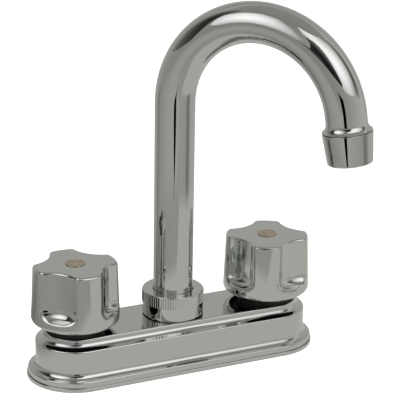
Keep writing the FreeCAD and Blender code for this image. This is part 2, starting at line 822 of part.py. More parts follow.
def spout_pieces():
    lower, upper = spout_ring_heights()
    return {
        "spout_tube": spout_tube(),
        "spout_sleeve": with_spout(spout_sleeve()),
        "spout_lower_o_ring": with_spout(spout_o_ring(lower)),
        "spout_upper_o_ring": with_spout(spout_o_ring(upper)),
        "outlet_fitting": at_outlet(outlet_fitting()),
        "aerator_shell": at_outlet(aerator_shell()),
        "aerator_gasket": at_outlet(aerator_gasket()),
        "aerator_insert": at_outlet(aerator_insert()),
        "aerator_screen": at_outlet(aerator_screen()),
    }


def main():
    os.makedirs("parts", exist_ok=True)
    pieces = {}
    pieces.update(fixed_pieces())
    pieces.update(knob_pieces())
    pieces.update(spout_pieces())
    for name, shape in pieces.items():
        if len(shape.Solids) == 1:
            shape = shape.Solids[0]
        shape.exportStep("parts/" + name + ".step")


main()
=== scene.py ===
import json
import math

import bmesh
import bpy
from mathutils import Matrix, Vector


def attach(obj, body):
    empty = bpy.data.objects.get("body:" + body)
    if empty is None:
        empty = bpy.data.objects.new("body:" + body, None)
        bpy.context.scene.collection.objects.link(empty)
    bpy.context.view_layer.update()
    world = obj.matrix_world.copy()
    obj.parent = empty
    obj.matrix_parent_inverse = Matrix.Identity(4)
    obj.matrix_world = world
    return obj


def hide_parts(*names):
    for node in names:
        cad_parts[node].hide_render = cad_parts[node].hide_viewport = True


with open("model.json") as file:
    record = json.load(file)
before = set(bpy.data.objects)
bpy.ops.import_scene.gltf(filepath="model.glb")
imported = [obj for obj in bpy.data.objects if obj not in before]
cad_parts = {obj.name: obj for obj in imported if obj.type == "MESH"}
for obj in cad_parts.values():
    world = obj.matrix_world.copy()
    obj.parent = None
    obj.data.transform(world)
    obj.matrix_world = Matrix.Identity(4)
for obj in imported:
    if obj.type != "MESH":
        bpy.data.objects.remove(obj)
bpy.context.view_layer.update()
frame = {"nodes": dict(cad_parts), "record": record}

# Looks for a gooseneck bar faucet. Sizes are in millimetres, as in the part's source, and
# become metres only when a mesh is made.
MM = 0.001

# ---------------------------------------------------------------- sizes shared by the pieces
half_spacing = 50.8
sides = {"hot": -half_spacing, "cold": half_spacing}
cover_height = 23.2
gasket_thickness = 2.4
neck_top = 29.0
neck_radius = 11.2
shank_radius = 10.45
shank_length = 45.0

# ---------------------------------------------------------------- small helpers


def polar(radius, degrees, height=0.0):
    """A point at that distance and direction from the Z axis."""
    angle = math.radians(degrees)
    return Vector((radius * math.cos(angle), radius * math.sin(angle), height))


def arc(centre, radius, start, end, steps):
    """Points of a round stretch of a half section, as (distance from axis, height)."""
    points = []
    for k in range(steps + 1):
        angle = math.radians(start + (end - start) * k / steps)
        points.append((centre[0] + radius * math.cos(angle), centre[1] + radius * math.sin(angle)))
    return points


def finish_mesh(mesh, smooth_angle):
    """Merges what meets, turns the faces outwards and keeps edges over that angle crisp."""
    form = bmesh.new()
    form.from_mesh(mesh)
    bmesh.ops.remove_doubles(form, verts=form.verts, dist=0.002 * MM)
    bmesh.ops.dissolve_degenerate(form, edges=form.edges, dist=0.0005 * MM)
    bmesh.ops.recalc_face_normals(form, faces=form.faces)
    form.to_mesh(mesh)
    form.free()
    mesh.shade_smooth()
    mesh.set_sharp_from_angle(angle=math.radians(smooth_angle))


def ring_piece(name, rings, material, looped=False, place=None, smooth_angle=32):
    """A piece from rings of points in millimetres; looped joins the last ring to the first."""
    count = len(rings[0])
    points = [point * MM for ring in rings for point in ring]
    faces = []
    last = len(rings) if looped else len(rings) - 1
    for i in range(last):
        j = (i + 1) % len(rings)
        for k in range(count):
            m = (k + 1) % count
            faces.append((i * count + k, i * count + m, j * count + m, j * count + k))
    if not looped:
        faces.append(tuple(range(count)))
        faces.append(tuple(range((len(rings) - 1) * count, len(rings) * count)))
    mesh = bpy.data.meshes.new(name)
    mesh.from_pydata(points, [], faces)
    if place is not None:
        mesh.transform(place)
    finish_mesh(mesh, smooth_angle)
    mesh.materials.append(material)
    piece = bpy.data.objects.new(name, mesh)
    bpy.context.scene.collection.objects.link(piece)
    lead = piece.modifiers.new("flats lead the shading", "WEIGHTED_NORMAL")
    lead.keep_sharp = True
    return piece


def turned(name, outline, material, steps, place=None):
    """A turned piece whose closed half section is given as (radius, height) points."""
    rings = [[polar(radius, 360 * k / steps, height) for k in range(steps)]
             for radius, height in outline]
    return ring_piece(name, rings, material, True, place)


def shift(x, y, z):
    """A move in millimetres."""
    return Matrix.Translation(Vector((x, y, z)) * MM)


def settle(piece, body, slot, *nodes):
    """Rides a piece on its body in place of the CAD nodes it dresses."""
    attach(piece, body)
    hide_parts(*nodes)


# ---------------------------------------------------------------- materials


def linear(code):
    """Linear opaque colour of an sRGB hex code."""
    channels = []
    for k in (0, 2, 4):
        value = int(code[k:k + 2], 16) / 255
        channels.append(value / 12.92 if value <= 0.04045 else ((value + 0.055) / 1.055) ** 2.4)
    return (*channels, 1.0)


def add(tree, kind, settings=None, links=None):
    """Adds a node with its settings and with links into its inputs."""
    node = tree.nodes.new(kind)
    for key, value in (settings or {}).items():
        if isinstance(key, int) or key in node.inputs:
            node.inputs[key].default_value = value
        else:
            setattr(node, key, value)
    for key, output in (links or {}).items():
        tree.links.new(output, node.inputs[key])
    return node


def surface(name, **settings):
    """A new material with its shader and the coordinates that its patterns read."""
    material = bpy.data.materials.new(name)
    material.use_nodes = True
    tree = material.node_tree
    shader = tree.nodes["Principled BSDF"]
    for key, value in settings.items():
        shader.inputs[key.replace("_", " ").title().replace("Ior", "IOR")].default_value = value
    place = add(tree, "ShaderNodeTexCoord").outputs["Object"]
    return material, tree, shader, place


def vary(tree, source, low, high):
    """Spreads a 0 to 1 pattern over a range of values."""
    return add(tree, "ShaderNodeMapRange", {"To Min": low, "To Max": high}, {"Value": source}).outputs["Result"]


def relief(tree, shader, height, depth):
    """Gives the shader a bump of that depth in millimetres."""
    bump = add(tree, "ShaderNodeBump", {"Distance": depth * MM, "Strength": 1.0}, {"Height": height})
    tree.links.new(bump.outputs["Normal"], shader.inputs["Normal"])


def noise(tree, place, size, detail=2.0):
    """Cloudy pattern whose patches are about that many millimetres across."""
    settings = {"Scale": 1 / (size * MM), "Detail": detail}
    return add(tree, "ShaderNodeTexNoise", settings, {"Vector": place}).outputs["Fac"]


def mirror_chrome():
    """Polished brass under bright chromium plate: a neutral, faintly green mirror. The plate
    keeps a slow swell from the buffing wheel and a light haze where hands wear it."""
    material, tree, shader, place = surface("mirror_chrome_plate", base_color=linear("CDD0CC"), metallic=1.0)
    haze = noise(tree, place, 6.0, 3.0)
    tree.links.new(vary(tree, haze, 0.015, 0.05), shader.inputs["Roughness"])
    relief(tree, shader, noise(tree, place, 9.0, 1.0), 0.012)
    return material


def turned_brass():
    """Bare brass off the lathe: warm yellow, with fine tool rings and a dull oxide bloom."""
    material, tree, shader, place = surface("bare_turned_brass", base_color=linear("C9A45C"), metallic=1.0)
    bloom = noise(tree, place, 5.0, 4.0)
    tone = add(tree, "ShaderNodeMix", {"data_type": "RGBA", "A": linear("C9A45C"), "B": linear("A98242")},
               {"Factor": bloom})
    tree.links.new(tone.outputs["Result"], shader.inputs["Base Color"])
    tree.links.new(vary(tree, bloom, 0.22, 0.42), shader.inputs["Roughness"])
    rings = add(tree, "ShaderNodeTexWave", {"bands_direction": "Z", "Scale": 1 / (0.6 * MM) / 20, "Distortion": 0.4},
                {"Vector": place})
    relief(tree, shader, rings.outputs["Fac"], 0.01)
    return material


def stainless():
    """Rolled stainless steel: cool grey with a soft satin."""
    material, tree, shader, place = surface("rolled_stainless", base_color=linear("B4B5B4"), metallic=1.0)
    grain = noise(tree, place, 0.5, 3.0)
    tree.links.new(vary(tree, grain, 0.22, 0.38), shader.inputs["Roughness"])
    relief(tree, shader, grain, 0.004)
    return material


def black_acetal():
    """Moulded black acetal: nearly black with a low sheen and a faint mould grain."""
    material, tree, shader, place = surface("moulded_black_acetal", base_color=linear("121213"), ior=1.48)
    grain = noise(tree, place, 0.3, 2.0)
    tree.links.new(vary(tree, grain, 0.34, 0.5), shader.inputs["Roughness"])
    relief(tree, shader, grain, 0.006)
    return material


def white_acetal():
    """Moulded white acetal: milky and slightly waxy."""
    material, tree, shader, place = surface("moulded_white_acetal", base_color=linear("E6E5E0"), ior=1.48)
    grain = noise(tree, place, 0.4, 2.0)
    tree.links.new(vary(tree, grain, 0.3, 0.45), shader.inputs["Roughness"])
    relief(tree, shader, grain, 0.005)
    return material


def nitrile_rubber():
    """Black nitrile rubber: matt, with a dusty bloom."""
    material, tree, shader, place = surface("black_nitrile_rubber", base_color=linear("161616"), ior=1.52)
    bloom = noise(tree, place, 2.5, 4.0)
    tone = add(tree, "ShaderNodeMix", {"data_type": "RGBA", "A": linear("141414"), "B": linear("262625")},
               {"Factor": bloom})
    tree.links.new(tone.outputs["Result"], shader.inputs["Base Color"])
    tree.links.new(vary(tree, bloom, 0.6, 0.85), shader.inputs["Roughness"])
    relief(tree, shader, noise(tree, place, 0.35, 2.0), 0.01)
    return material


def lapped_alumina():
    """Fired alumina, lapped flat: ivory white with fine grey specks."""
    material, tree, shader, place = surface("lapped_alumina", base_color=linear("EAE6DB"), ior=1.76)
    specks = noise(tree, place, 0.25, 2.0)
    tone = add(tree, "ShaderNodeMix", {"data_type": "RGBA", "A": linear("EDEAE0"), "B": linear("D5D0C3")},
               {"Factor": specks})
    tree.links.new(tone.outputs["Result"], shader.inputs["Base Color"])
    tree.links.new(vary(tree, specks, 0.15, 0.3), shader.inputs["Roughness"])
    return material


def painted_shade_casting():
    """Die-cast zinc inside the knob, left bare, with its colour painted nearly black as painted shade for the
    hollow: dull, faintly mottled.
    """
    material, tree, shader, place = surface("bare_zinc_painted_shade", base_color=linear("131213"), ior=1.45)
    mottle = noise(tree, place, 1.6, 4.0)
    tone = add(tree, "ShaderNodeMix", {"data_type": "RGBA", "A": linear("0B0B0C"), "B": linear("1D1B1C")},
               {"Factor": mottle})
    tree.links.new(tone.outputs["Result"], shader.inputs["Base Color"])
    tree.links.new(vary(tree, mottle, 0.65, 0.85), shader.inputs["Roughness"])
    relief(tree, shader, mottle, 0.05)
    return material


def index_bronze():
    """Satin index button: pale bronze with a fine turned grain that breaks up its shine."""
    material, tree, shader, place = surface("satin_index_bronze", base_color=linear("C9BDA6"), metallic=1.0)
    grain = noise(tree, place, 0.7, 3.0)
    tree.links.new(vary(tree, grain, 0.25, 0.5), shader.inputs["Roughness"])
    relief(tree, shader, grain, 0.03)
    return material


chrome = mirror_chrome()
brass = turned_brass()
steel = stainless()
acetal = black_acetal()
white = white_acetal()
rubber = nitrile_rubber()
alumina = lapped_alumina()
bronze = index_bronze()
# near-black painted shade for the hollow inside each knob
knob_hollow_shade = painted_shade_casting()


# ---------------------------------------------------------------- geometry node trees


def new_tree(name, **inputs):
    """A geometry node tree with a geometry input and named number inputs."""
    tree = bpy.data.node_groups.new(name, "GeometryNodeTree")
    tree.interface.new_socket("Geometry", in_out="INPUT", socket_type="NodeSocketGeometry")
    tree.interface.new_socket("Geometry", in_out="OUTPUT", socket_type="NodeSocketGeometry")
    for key, kind in inputs.items():
        tree.interface.new_socket(key, in_out="INPUT", socket_type=kind)
    return tree


def run_tree(piece, tree, **values):
    """Runs a tree on a piece and keeps the result as the piece's plain mesh."""
    modifier = piece.modifiers.new(tree.name, "NODES")
    modifier.node_group = tree
    for item in tree.interface.items_tree:
        if item.in_out == "INPUT" and item.name in values:
            modifier[item.identifier] = values[item.name]
    bpy.context.view_layer.update()
    graph = bpy.context.evaluated_depsgraph_get()
    mesh = bpy.data.meshes.new_from_object(piece.evaluated_get(graph))
    piece.modifiers.clear()
    piece.data = mesh


def rib_tree():
    """Upright half-round ribs, evenly spaced round a ring."""
    tree = new_tree("upright_ribs", Ribs="NodeSocketInt", Radius="NodeSocketFloat", Width="NodeSocketFloat",
                    Length="NodeSocketFloat", Middle="NodeSocketFloat", Finish="NodeSocketMaterial")
    given = add(tree, "NodeGroupInput").outputs
    half = add(tree, "ShaderNodeMath", {"operation": "MULTIPLY", 1: 0.5}, {0: given["Width"]}).outputs[0]
    rib = add(tree, "GeometryNodeMeshCylinder", {"Vertices": 8}, {"Radius": half, "Depth": given["Length"]})
    ring = add(tree, "GeometryNodeMeshCircle", {}, {"Vertices": given["Ribs"], "Radius": given["Radius"]})
    ribs = add(tree, "GeometryNodeInstanceOnPoints", {},
               {"Points": ring.outputs["Mesh"], "Instance": rib.outputs["Mesh"]})
    lift = add(tree, "ShaderNodeCombineXYZ", {}, {"Z": given["Middle"]})
    lifted = add(tree, "GeometryNodeTransform", {}, {"Geometry": ribs.outputs[0], "Translation": lift.outputs[0]})
    both = add(tree, "GeometryNodeJoinGeometry")
    tree.links.new(given["Geometry"], both.inputs[0])
    tree.links.new(lifted.outputs[0], both.inputs[0])
    real = add(tree, "GeometryNodeRealizeInstances", {}, {"Geometry": both.outputs[0]})
    dressed = add(tree, "GeometryNodeSetMaterial", {}, {"Geometry": real.outputs[0], "Material": given["Finish"]})
    add(tree, "NodeGroupOutput", {}, {"Geometry": dressed.outputs[0]})
    return tree


ribs = rib_tree()


# ---------------------------------------------------------------- base cover


def racetrack(width, height):
    """A ring of points round the racetrack at that half width."""
    steps = 48
    points = []
    for k in range(steps + 1):
        points.append(polar(width, -90 + 180 * k / steps, height) + Vector((half_spacing, 0, 0)))
    for k in range(steps + 1):
        points.append(polar(width, 90 + 180 * k / steps, height) - Vector((half_spacing, 0, 0)))
    return points


def base_cover():
    """Plated cover: lip, foot, cove, upright wall, upper cove and flat top, hollow for the gasket."""
    wall, foot, foot_height, foot_round = 19.2, 22.8, 5.1, 0.75
    lip_height, lip_proud, lip_round = 1.9, 0.6, 0.35
    groove_depth, groove_height = 0.5, 0.4
    upper_cove, shoulder_round, crown_round = 3.35, 0.8, 0.8
    lower_cove, sweep = 3.4, 72
    gasket_edge = 20.2
    crown = 15.0
    lip = foot + lip_proud
    fall = math.sin(math.radians(sweep))
    slope = 1 / math.tan(math.radians(sweep))
    cove_top = foot_height + lower_cove * fall
    cove_run = lower_cove * (1 - math.cos(math.radians(sweep)))
    foot_start = foot - foot_round * (1 - math.cos(math.radians(sweep)))
    foot_edge = foot_height - (foot_start - wall - cove_run) * slope - foot_round * fall
    crown_low = cover_height - crown_round
    step_run = upper_cove * (1 - math.cos(math.radians(sweep)))
    step_start = wall - shoulder_round * (1 - math.cos(math.radians(sweep)))
    step_low = crown_low - upper_cove * fall - (step_start - crown - step_run) * slope - shoulder_round * fall
    outline = [
        (gasket_edge, gasket_thickness),
        (gasket_edge, 0.0),
        (lip - 0.15, 0.0),
        *arc((lip - 0.15, 0.15), 0.15, -90, 0, 3),
        *arc((lip - lip_round, lip_height - lip_round), lip_round, 0, 90, 6),
        (foot - groove_depth, lip_height),
        (foot - groove_depth, lip_height + groove_height),
        (foot, lip_height + groove_height),
        *arc((foot - foot_round, foot_edge), foot_round, 0, sweep, 8),
        *arc((wall + lower_cove, cove_top), lower_cove, 180 + sweep, 180, 16),
        *arc((wall - shoulder_round, step_low), shoulder_round, 0, sweep, 8),
        *arc((crown + upper_cove, crown_low), upper_cove, 180 + sweep, 180, 16),
        *arc((crown - crown_round, crown_low), crown_round, 0, 90, 10),
    ]
    rings = [racetrack(width, height) for width, height in outline]
    piece = ring_piece("cover_shell", rings, chrome)
    settle(piece, "faucet_body", "chrome_plate", "base_cover")


# ---------------------------------------------------------------- knobs
knob_rim = 27.6
knob_top = 56.0
knob_turn = {"hot": -2.0, "cold": -28.0}
button_radius = 4.75
cup_radius = 18.0
cup_top = 30.4
bore_radius = 11.7
bore_top = 35.5


def rounded_corner(a, b, radius):
    """Signed distance to the corner of two surfaces, rounded over that radius."""
    return min(-radius, max(a, b)) + math.hypot(max(radius + a, 0.0), max(radius + b, 0.0))


def knob_distance(x, y, z):
    """Signed distance to the knob's skin, for a point in the sector of the flute along X."""
    skirt, top, foot_round, top_round, lip_round = 21.1, 20.1, 2.6, 1.2, 1.5
    flute_radius, flute_floor, flute_end, end_round = 15.8, 15.1, 33.0, 5.0
    foot = knob_rim + foot_round
    slope = (skirt - top) / (knob_top - foot)
    side = (math.hypot(x, y) - skirt + slope * (z - foot)) / math.hypot(1.0, slope)
    across = math.hypot(x - flute_floor - flute_radius, y) - flute_radius + end_round
    below = flute_end + end_round - z
    flute = math.hypot(max(across, 0.0), max(below, 0.0)) + min(max(across, below), 0.0) - end_round
    lobed = rounded_corner(side, -flute, lip_round)
    return rounded_corner(rounded_corner(lobed, z - knob_top, top_round), knob_rim - z, foot_round)


def skin_point(degrees, aim, heart):
    """Where a ray from the knob's axis at the heart's height towards an aim, as (radius, height),
    leaves the knob's skin."""
    turn = Vector((math.cos(math.radians(degrees)), math.sin(math.radians(degrees))))
    reach = Vector((aim[0], aim[1] - heart)).normalized()
    inside, outside = 14.0, 45.0
    for _ in range(28):
        middle = (inside + outside) / 2
        spot = turn * reach.x * middle
        if knob_distance(spot.x, spot.y, heart + reach.y * middle) < 0:
            inside = middle
        else:
            outside = middle
    return reach.x * middle, heart + reach.y * middle


def knob_column(degrees):
    """Points of the skin in one direction: rim, foot, end of the flute, wall, top edge, flat top."""
    high_heart, low_heart, edge_heart = 46.0, 22.0, 48.0
    column = [skin_point(degrees, (cup_radius + 0.2 + 0.45 * k, knob_rim), high_heart) for k in range(6)]
    column += [skin_point(degrees, (21.0, knob_rim + 0.2 + 0.28 * k), high_heart) for k in range(12)]
    column += [skin_point(degrees, (21.0, 31.1 + 0.15 * k), low_heart) for k in range(36)]
    column += [skin_point(degrees, (21.0, 36.8 + 0.5 * k), low_heart) for k in range(11)]
    start, end = column[-1][1], knob_top - 1.5
    heights = [start + (end - start) * k / 9 for k in range(1, 10)]
    column += [skin_point(degrees, (21.0, height), height) for height in heights]
    edge = column[-1][0]
    column += [skin_point(degrees, (edge, end + 0.15 + 0.13 * k), edge_heart) for k in range(9)]
    column += [skin_point(degrees, (edge - 0.15 - 0.15 * k, knob_top), edge_heart) for k in range(11)]
    rim, pocket = column[-1][0], button_radius + 0.05
    column += [(rim + (pocket - rim) * share, knob_top) for share in (0.3, 0.65, 1.0)]
    return column + [(pocket, knob_top - 2.3)]


def knob_rings():
    """Rings from the closed end of the bore, round the outside, to the floor of the button's pocket."""
    half = 45  # degrees from the middle of a flute to the middle of a lobe
    turns = range(-half, 7 * half)
    hollow = [(4.1, bore_top), (bore_radius, bore_top), (bore_radius, cup_top), (cup_radius, cup_top),
              (cup_radius, knob_rim)]
    sector = [hollow + knob_column(turn) for turn in range(half + 1)]
    columns = [sector[abs((turn + half) % (2 * half) - half)] for turn in turns]
    return [[polar(spot[0], turn, spot[1]) for spot, turn in zip(row, turns)] for row in zip(*columns)]


def knobs():
    """The two plated knobs, each turned as in the photograph."""
    rings = knob_rings()
    for side, x in sides.items():
        place = shift(x, 0, 0) @ Matrix.Rotation(math.radians(knob_turn[side] - 45), 4, "Z")
        piece = ring_piece(side + "_lobed_knob", rings, chrome, False, place, 50)
        # the cup and bore faces inside the knob take the near-black colour, painted shade for the hollow under the
        # knob
        piece.data.materials.append(knob_hollow_shade)
        for face in piece.data.polygons:
            middle = face.center / MM
            reach = math.hypot(middle.x - x, middle.y)
            in_cup = reach < cup_radius + 0.05 and middle.z < cup_top + 0.05
            in_bore = reach < bore_radius + 0.05 and middle.z < bore_top + 0.05
            face.material_index = int(in_cup or in_bore)
        settle(piece, side + "_handle", "chrome_plate", side + "_knob")


def index_buttons():
    """Plain round buttons: a polished rim round a sunk bronze field with a small boss."""
    edge = knob_top + 0.1
    outline = [
        (0.0, knob_top - 2.3),
        (button_radius, knob_top - 2.3),
        *arc((button_radius - 0.25, edge + 0.1), 0.25, 0, 90, 5),
        (button_radius - 0.7, edge + 0.35),
        (button_radius - 0.95, edge + 0.1),
        (2.1, edge + 0.2),
        (1.9, edge + 0.5),
        *arc((0.0, edge - 3.4), 4.2, 70, 90, 5),
    ]
    for side, x in sides.items():
        piece = turned(side + "_index_disc", outline, bronze, 64, shift(x, 0, 0))
        settle(piece, side + "_handle", "index_metal", side + "_index_button")


# ---------------------------------------------------------------- lock rings and spout nut


def lock_rings():
    """Black ribbed rings in the gap under the knobs."""
    radius, height = 14.0, 5.8
    rib_width, rib_pitch = 0.9, 1.45
    top = cover_height + height
    outline = [
        (neck_radius + 0.15, cover_height),
        (radius - 0.45, cover_height),
        (radius - 0.45, top - 0.6),
        *arc((radius - 0.95, top - 0.5), 0.5, 0, 90, 4),
        (neck_radius + 0.15, top),
    ]
    for side, x in sides.items():
        piece = turned(side + "_ribbed_ring", outline, acetal, 96)
        run_tree(piece, ribs, Ribs=round(2 * math.pi * radius / rib_pitch), Radius=(radius - 0.45) * MM,
                 Width=rib_width * MM, Length=(height - 0.8) * MM, Middle=(cover_height + (height - 0.8) / 2) * MM,
                 Finish=acetal)
        piece.data.transform(shift(x, 0, 0))
        settle(piece, "faucet_body", "black_plastic", side + "_lock_ring")


def spout_nut():
    """Plated nut with a fine straight knurl on its upper half and a polished top face."""
    radius, height, edge, gap_depth, gap_height = 15.0, 12.6, 0.5, 1.8, 0.55
    bore, thread, lip = 9.725, 12.45, 3.9
    knurl_depth, knurl_pitch, knurl_length = 0.16, 1.15, 5.4
    top = cover_height + height
    knurl_low = top - edge - knurl_length
    body = radius - knurl_depth
    outline = [
        (thread, cover_height),
        (radius - gap_depth, cover_height),
        (radius - gap_depth, cover_height + gap_height),
        *arc((body - 0.25, cover_height + gap_height + 0.25), 0.25, 270, 360, 4),
        *arc((body - edge, top - edge), edge, 0, 90, 8),
        (bore + 0.3, top),
        (bore, top - 0.3),
        (bore, top - lip),
        (thread, top - lip),
    ]
    piece = turned("knurled_nut", outline, chrome, 168)
    run_tree(piece, ribs, Ribs=round(2 * math.pi * radius / knurl_pitch), Radius=(body - knurl_depth) * MM,
             Width=0.64 * MM, Length=knurl_length * MM, Middle=(knurl_low + knurl_length / 2) * MM, Finish=chrome)
    settle(piece, "faucet_body", "chrome_plate", "spout_nut")


# ---------------------------------------------------------------- spout and outlet
tube_radius = 9.525
tube_wall = 1.2
bend_radius = 43.45
bend_height = 129.0
bend_sweep = 172.0
tail_length = 2.8
spout_turn = Matrix.Rotation(math.radians(36.7 - 90), 4, "Z")


def outlet_place():
    """Where the outlet hangs, at the end of the bend."""
    sweep = math.radians(bend_sweep)
    end = shift(bend_radius * (1 - math.cos(sweep)), 0, bend_height + bend_radius * math.sin(sweep))
    return spout_turn @ end @ Matrix.Rotation(math.radians(bend_sweep - 180), 4, "Y")


def spout_tube():
    """Plated gooseneck: one smooth tube swept along the upright, the bend and a short tail."""
    foot, steps, bend_rows = 23.5, 112, 120
    sweep = math.radians(bend_sweep)
    stations = [(Vector((0, 0, foot + (bend_height - foot) * k / 24)), 0.0) for k in range(24)]
    for k in range(bend_rows + 1):
        angle = sweep * k / bend_rows
        spot = (bend_radius * (1 - math.cos(angle)), 0, bend_height + bend_radius * math.sin(angle))
        stations.append((Vector(spot), angle))
    along = Vector((math.sin(sweep), 0, math.cos(sweep)))
    stations.append((stations[-1][0] + along * tail_length, sweep))
    rings = []
    for radius, line in ((tube_radius, stations), (tube_radius - tube_wall, reversed(stations))):
        for centre, angle in line:
            tilt = Matrix.Rotation(angle, 3, "Y")
            rings.append([centre + tilt @ polar(radius, 360 * k / steps) for k in range(steps)])
    piece = ring_piece("gooseneck_tube", rings, chrome, True, spout_turn)
    settle(piece, "spout", "chrome_plate", "spout_tube")


def outlet():
    """Flared end fitting and the tapered collar of the aerator below its seam."""
    flare, flare_length, flare_edge = 11.5, 3.8, 0.4
    thread, thread_length = 9.7, 6.0
    spigot = tube_radius - tube_wall - 0.05
    passage = spigot - 1.5
    spread = flare - tube_radius
    drop = flare_length - flare_edge
    bow = (spread ** 2 + drop ** 2) / (2 * spread)
    bend = math.degrees(math.asin(drop / bow))
    seat = -tail_length - flare_length
    fitting = [
        (passage, 2.4 - tail_length),
        (spigot, 2.4 - tail_length),
        (spigot, -tail_length),
        *arc((tube_radius + bow, -tail_length), bow, 180, 180 + bend, 14),
        *arc((flare - 0.15, seat + 0.2), 0.15, 0, -90, 3),
        (thread, seat),
        (thread, seat - thread_length),
        (passage, seat - thread_length),
    ]
    piece = turned("flared_end", fitting, chrome, 144, outlet_place())
    settle(piece, "spout", "chrome_plate", "outlet_fitting")
    top_radius, end_radius, length, foot_round, mouth, lip = 11.65, 10.45, 14.6, 1.0, 8.2, 1.3
    top = seat - 0.25
    end = top - length
    collar = [
        (thread + 0.15, top),
        *arc((top_radius - 0.2, top - 0.2), 0.2, 90, 5, 4),
        *arc((end_radius - foot_round, end + foot_round), foot_round, -5, -90, 8),
        *arc((mouth + 0.2, end + 0.2), 0.2, -90, -180, 3),
        (mouth, end + lip),
        (mouth + 0.25, end + lip),
        (mouth + 0.25, seat - thread_length - 3.0),
        (thread + 0.15, seat - thread_length - 3.0),
    ]
    piece = turned("aerator_collar", collar, chrome, 144, outlet_place())
    settle(piece, "spout", "chrome_plate", "aerator_shell")


# ---------------------------------------------------------------- threads under the deck


def shank_threads():
    """Half-inch pipe thread, 14 to the inch: two stretches on each shank, with a plain waist between."""
    pitch, root, crest, steps = 25.4 / 14, shank_radius - 0.05, shank_radius + 0.25, 48
    stretches = {"supply": (-shank_length + 1.2, -25.2), "deck": (-21.4, -1.6)}
    flank, flat = pitch * 0.46, pitch * 0.09
    run_out_turns, least_share = 0.5, 0.05
    for side, x in sides.items():
        for stretch, (low, high) in stretches.items():
            count = int((high - low) / pitch * steps)
            rings = []
            for k in range(count + 1):
                height, degrees = low + pitch * k / steps, 360 * k / steps
                full = min(1.0, k / steps / run_out_turns, (count - k) / steps / run_out_turns)
                tip = root + (crest - root) * max(full, least_share)
                rings.append([polar(root, degrees, height - flank), polar(tip, degrees, height - flat),
                              polar(tip, degrees, height + flat), polar(root, degrees, height + flank)])
            piece = ring_piece(f"{side}_{stretch}_thread", rings, brass, False, shift(x, 0, 0), 20)
            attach(piece, "faucet_body")


# ---------------------------------------------------------------- CAD nodes that keep their own mesh
plain_finishes = {
    "brass": brass,
    "stainless": steel,
    "black_plastic": acetal,
    "white_plastic": white,
    "black_rubber": rubber,
    "ceramic": alumina,
    "chrome_plate": chrome,
    "index_metal": bronze,
}


def dress_nodes():
    """Gives each CAD node the finish of its slot."""
    for part in frame["record"]["subparts"]:
        node = frame["nodes"][part["node"]]
        node.data.materials.clear()
        node.data.materials.append(plain_finishes[part["material_slot"]])


# ---------------------------------------------------------------- studio


def toward(azimuth, elevation, distance):
    """A point seen in that direction from the faucet; azimuth 0 is straight in front."""
    a, e = math.radians(azimuth), math.radians(elevation)
    return Vector((math.sin(a) * math.cos(e), -math.cos(a) * math.cos(e), math.sin(e))) * distance


def glow(name, tint):
    """A glowing cloth whose strength at each point comes from the mesh."""
    material = bpy.data.materials.new(name)
    material.use_nodes = True
    tree = material.node_tree
    tree.nodes.clear()
    level = add(tree, "ShaderNodeAttribute", {"attribute_name": "level"})
    light = add(tree, "ShaderNodeEmission", {"Color": tint}, {"Strength": level.outputs["Fac"]})
    add(tree, "ShaderNodeOutputMaterial", {}, {"Surface": light.outputs[0]})
    return material


def cloth(name, material, points, faces, levels):
    """A stage piece that lights the faucet and shows in its reflections only."""
    mesh = bpy.data.meshes.new(name)
    mesh.from_pydata(points, [], faces)
    attribute = mesh.attributes.new("level", "FLOAT", "POINT")
    attribute.data.foreach_set("value", levels)
    mesh.materials.append(material)
    piece = bpy.data.objects.new(name, mesh)
    bpy.context.scene.collection.objects.link(piece)
    piece.visible_camera = False
    piece.visible_shadow = False
    return piece


def between(value, stops):
    """Reads a value off a list of (place, level) stops, smoothly."""
    for (start, low), (end, high) in zip(stops, stops[1:]):
        if value <= end:
            share = (value - start) / (end - start)
            return low + (high - low) * share * share * (3 - 2 * share)
    return stops[-1][1]


def tent_level(azimuth, elevation):
    """Brightness of the tent's cloth in that direction."""
    level = between(elevation, [(-90, 0.47), (-55, 0.53), (-32, 0.53), (-18, 0.47), (8, 0.46), (30, 0.52),
                                (48, 0.46), (60, 0.32), (90, 0.33)])
    sway = between(elevation, [(-90, 0.06), (-30, 0.08), (-10, 0.13), (45, 0.13), (60, 0.02), (90, 0.0)])
    lead = between(elevation, [(-90, -10.0), (-40, 0.0), (-10, 105.0), (90, 120.0)])
    level += sway * math.cos(math.radians(azimuth - lead))
    belt = between(azimuth, [(-180, 0.45), (-146, 0.43), (-138, 0.3), (-128, 0.28), (-116, 0.38), (-89, 0.43),
                             (-60, 0.48), (-12, 0.5), (2, 0.45), (38, 0.42), (46, 0.25), (58, 0.25), (72, 0.46),
                             (82, 0.53), (110, 0.5), (180, 0.45)])
    return level + (belt - level) * between(abs(elevation + 16), [(0, 1.0), (5, 1.0), (12, 0.0), (180, 0.0)])


def round_faces(columns, rows):
    """Faces between rings of points that close on themselves."""
    faces = []
    for j in range(rows):
        low, high = j * columns, (j + 1) * columns
        for k in range(columns):
            m = (k + 1) % columns
            faces.append((low + k, low + m, high + m, high + k))
    return faces


def tent(material):
    """Round tent: grey cloth, brighter low in front and at the back right, dim overhead."""
    columns, rows, distance = 120, 90, 3.0
    points, levels = [], []
    for j in range(rows + 1):
        elevation = -90 + 180 * j / rows
        for k in range(columns):
            azimuth = 360 * k / columns - 180
            points.append(toward(azimuth, elevation, distance))
            levels.append(tent_level(azimuth, elevation))
    cloth("tent", material, points, round_faces(columns, rows), levels)


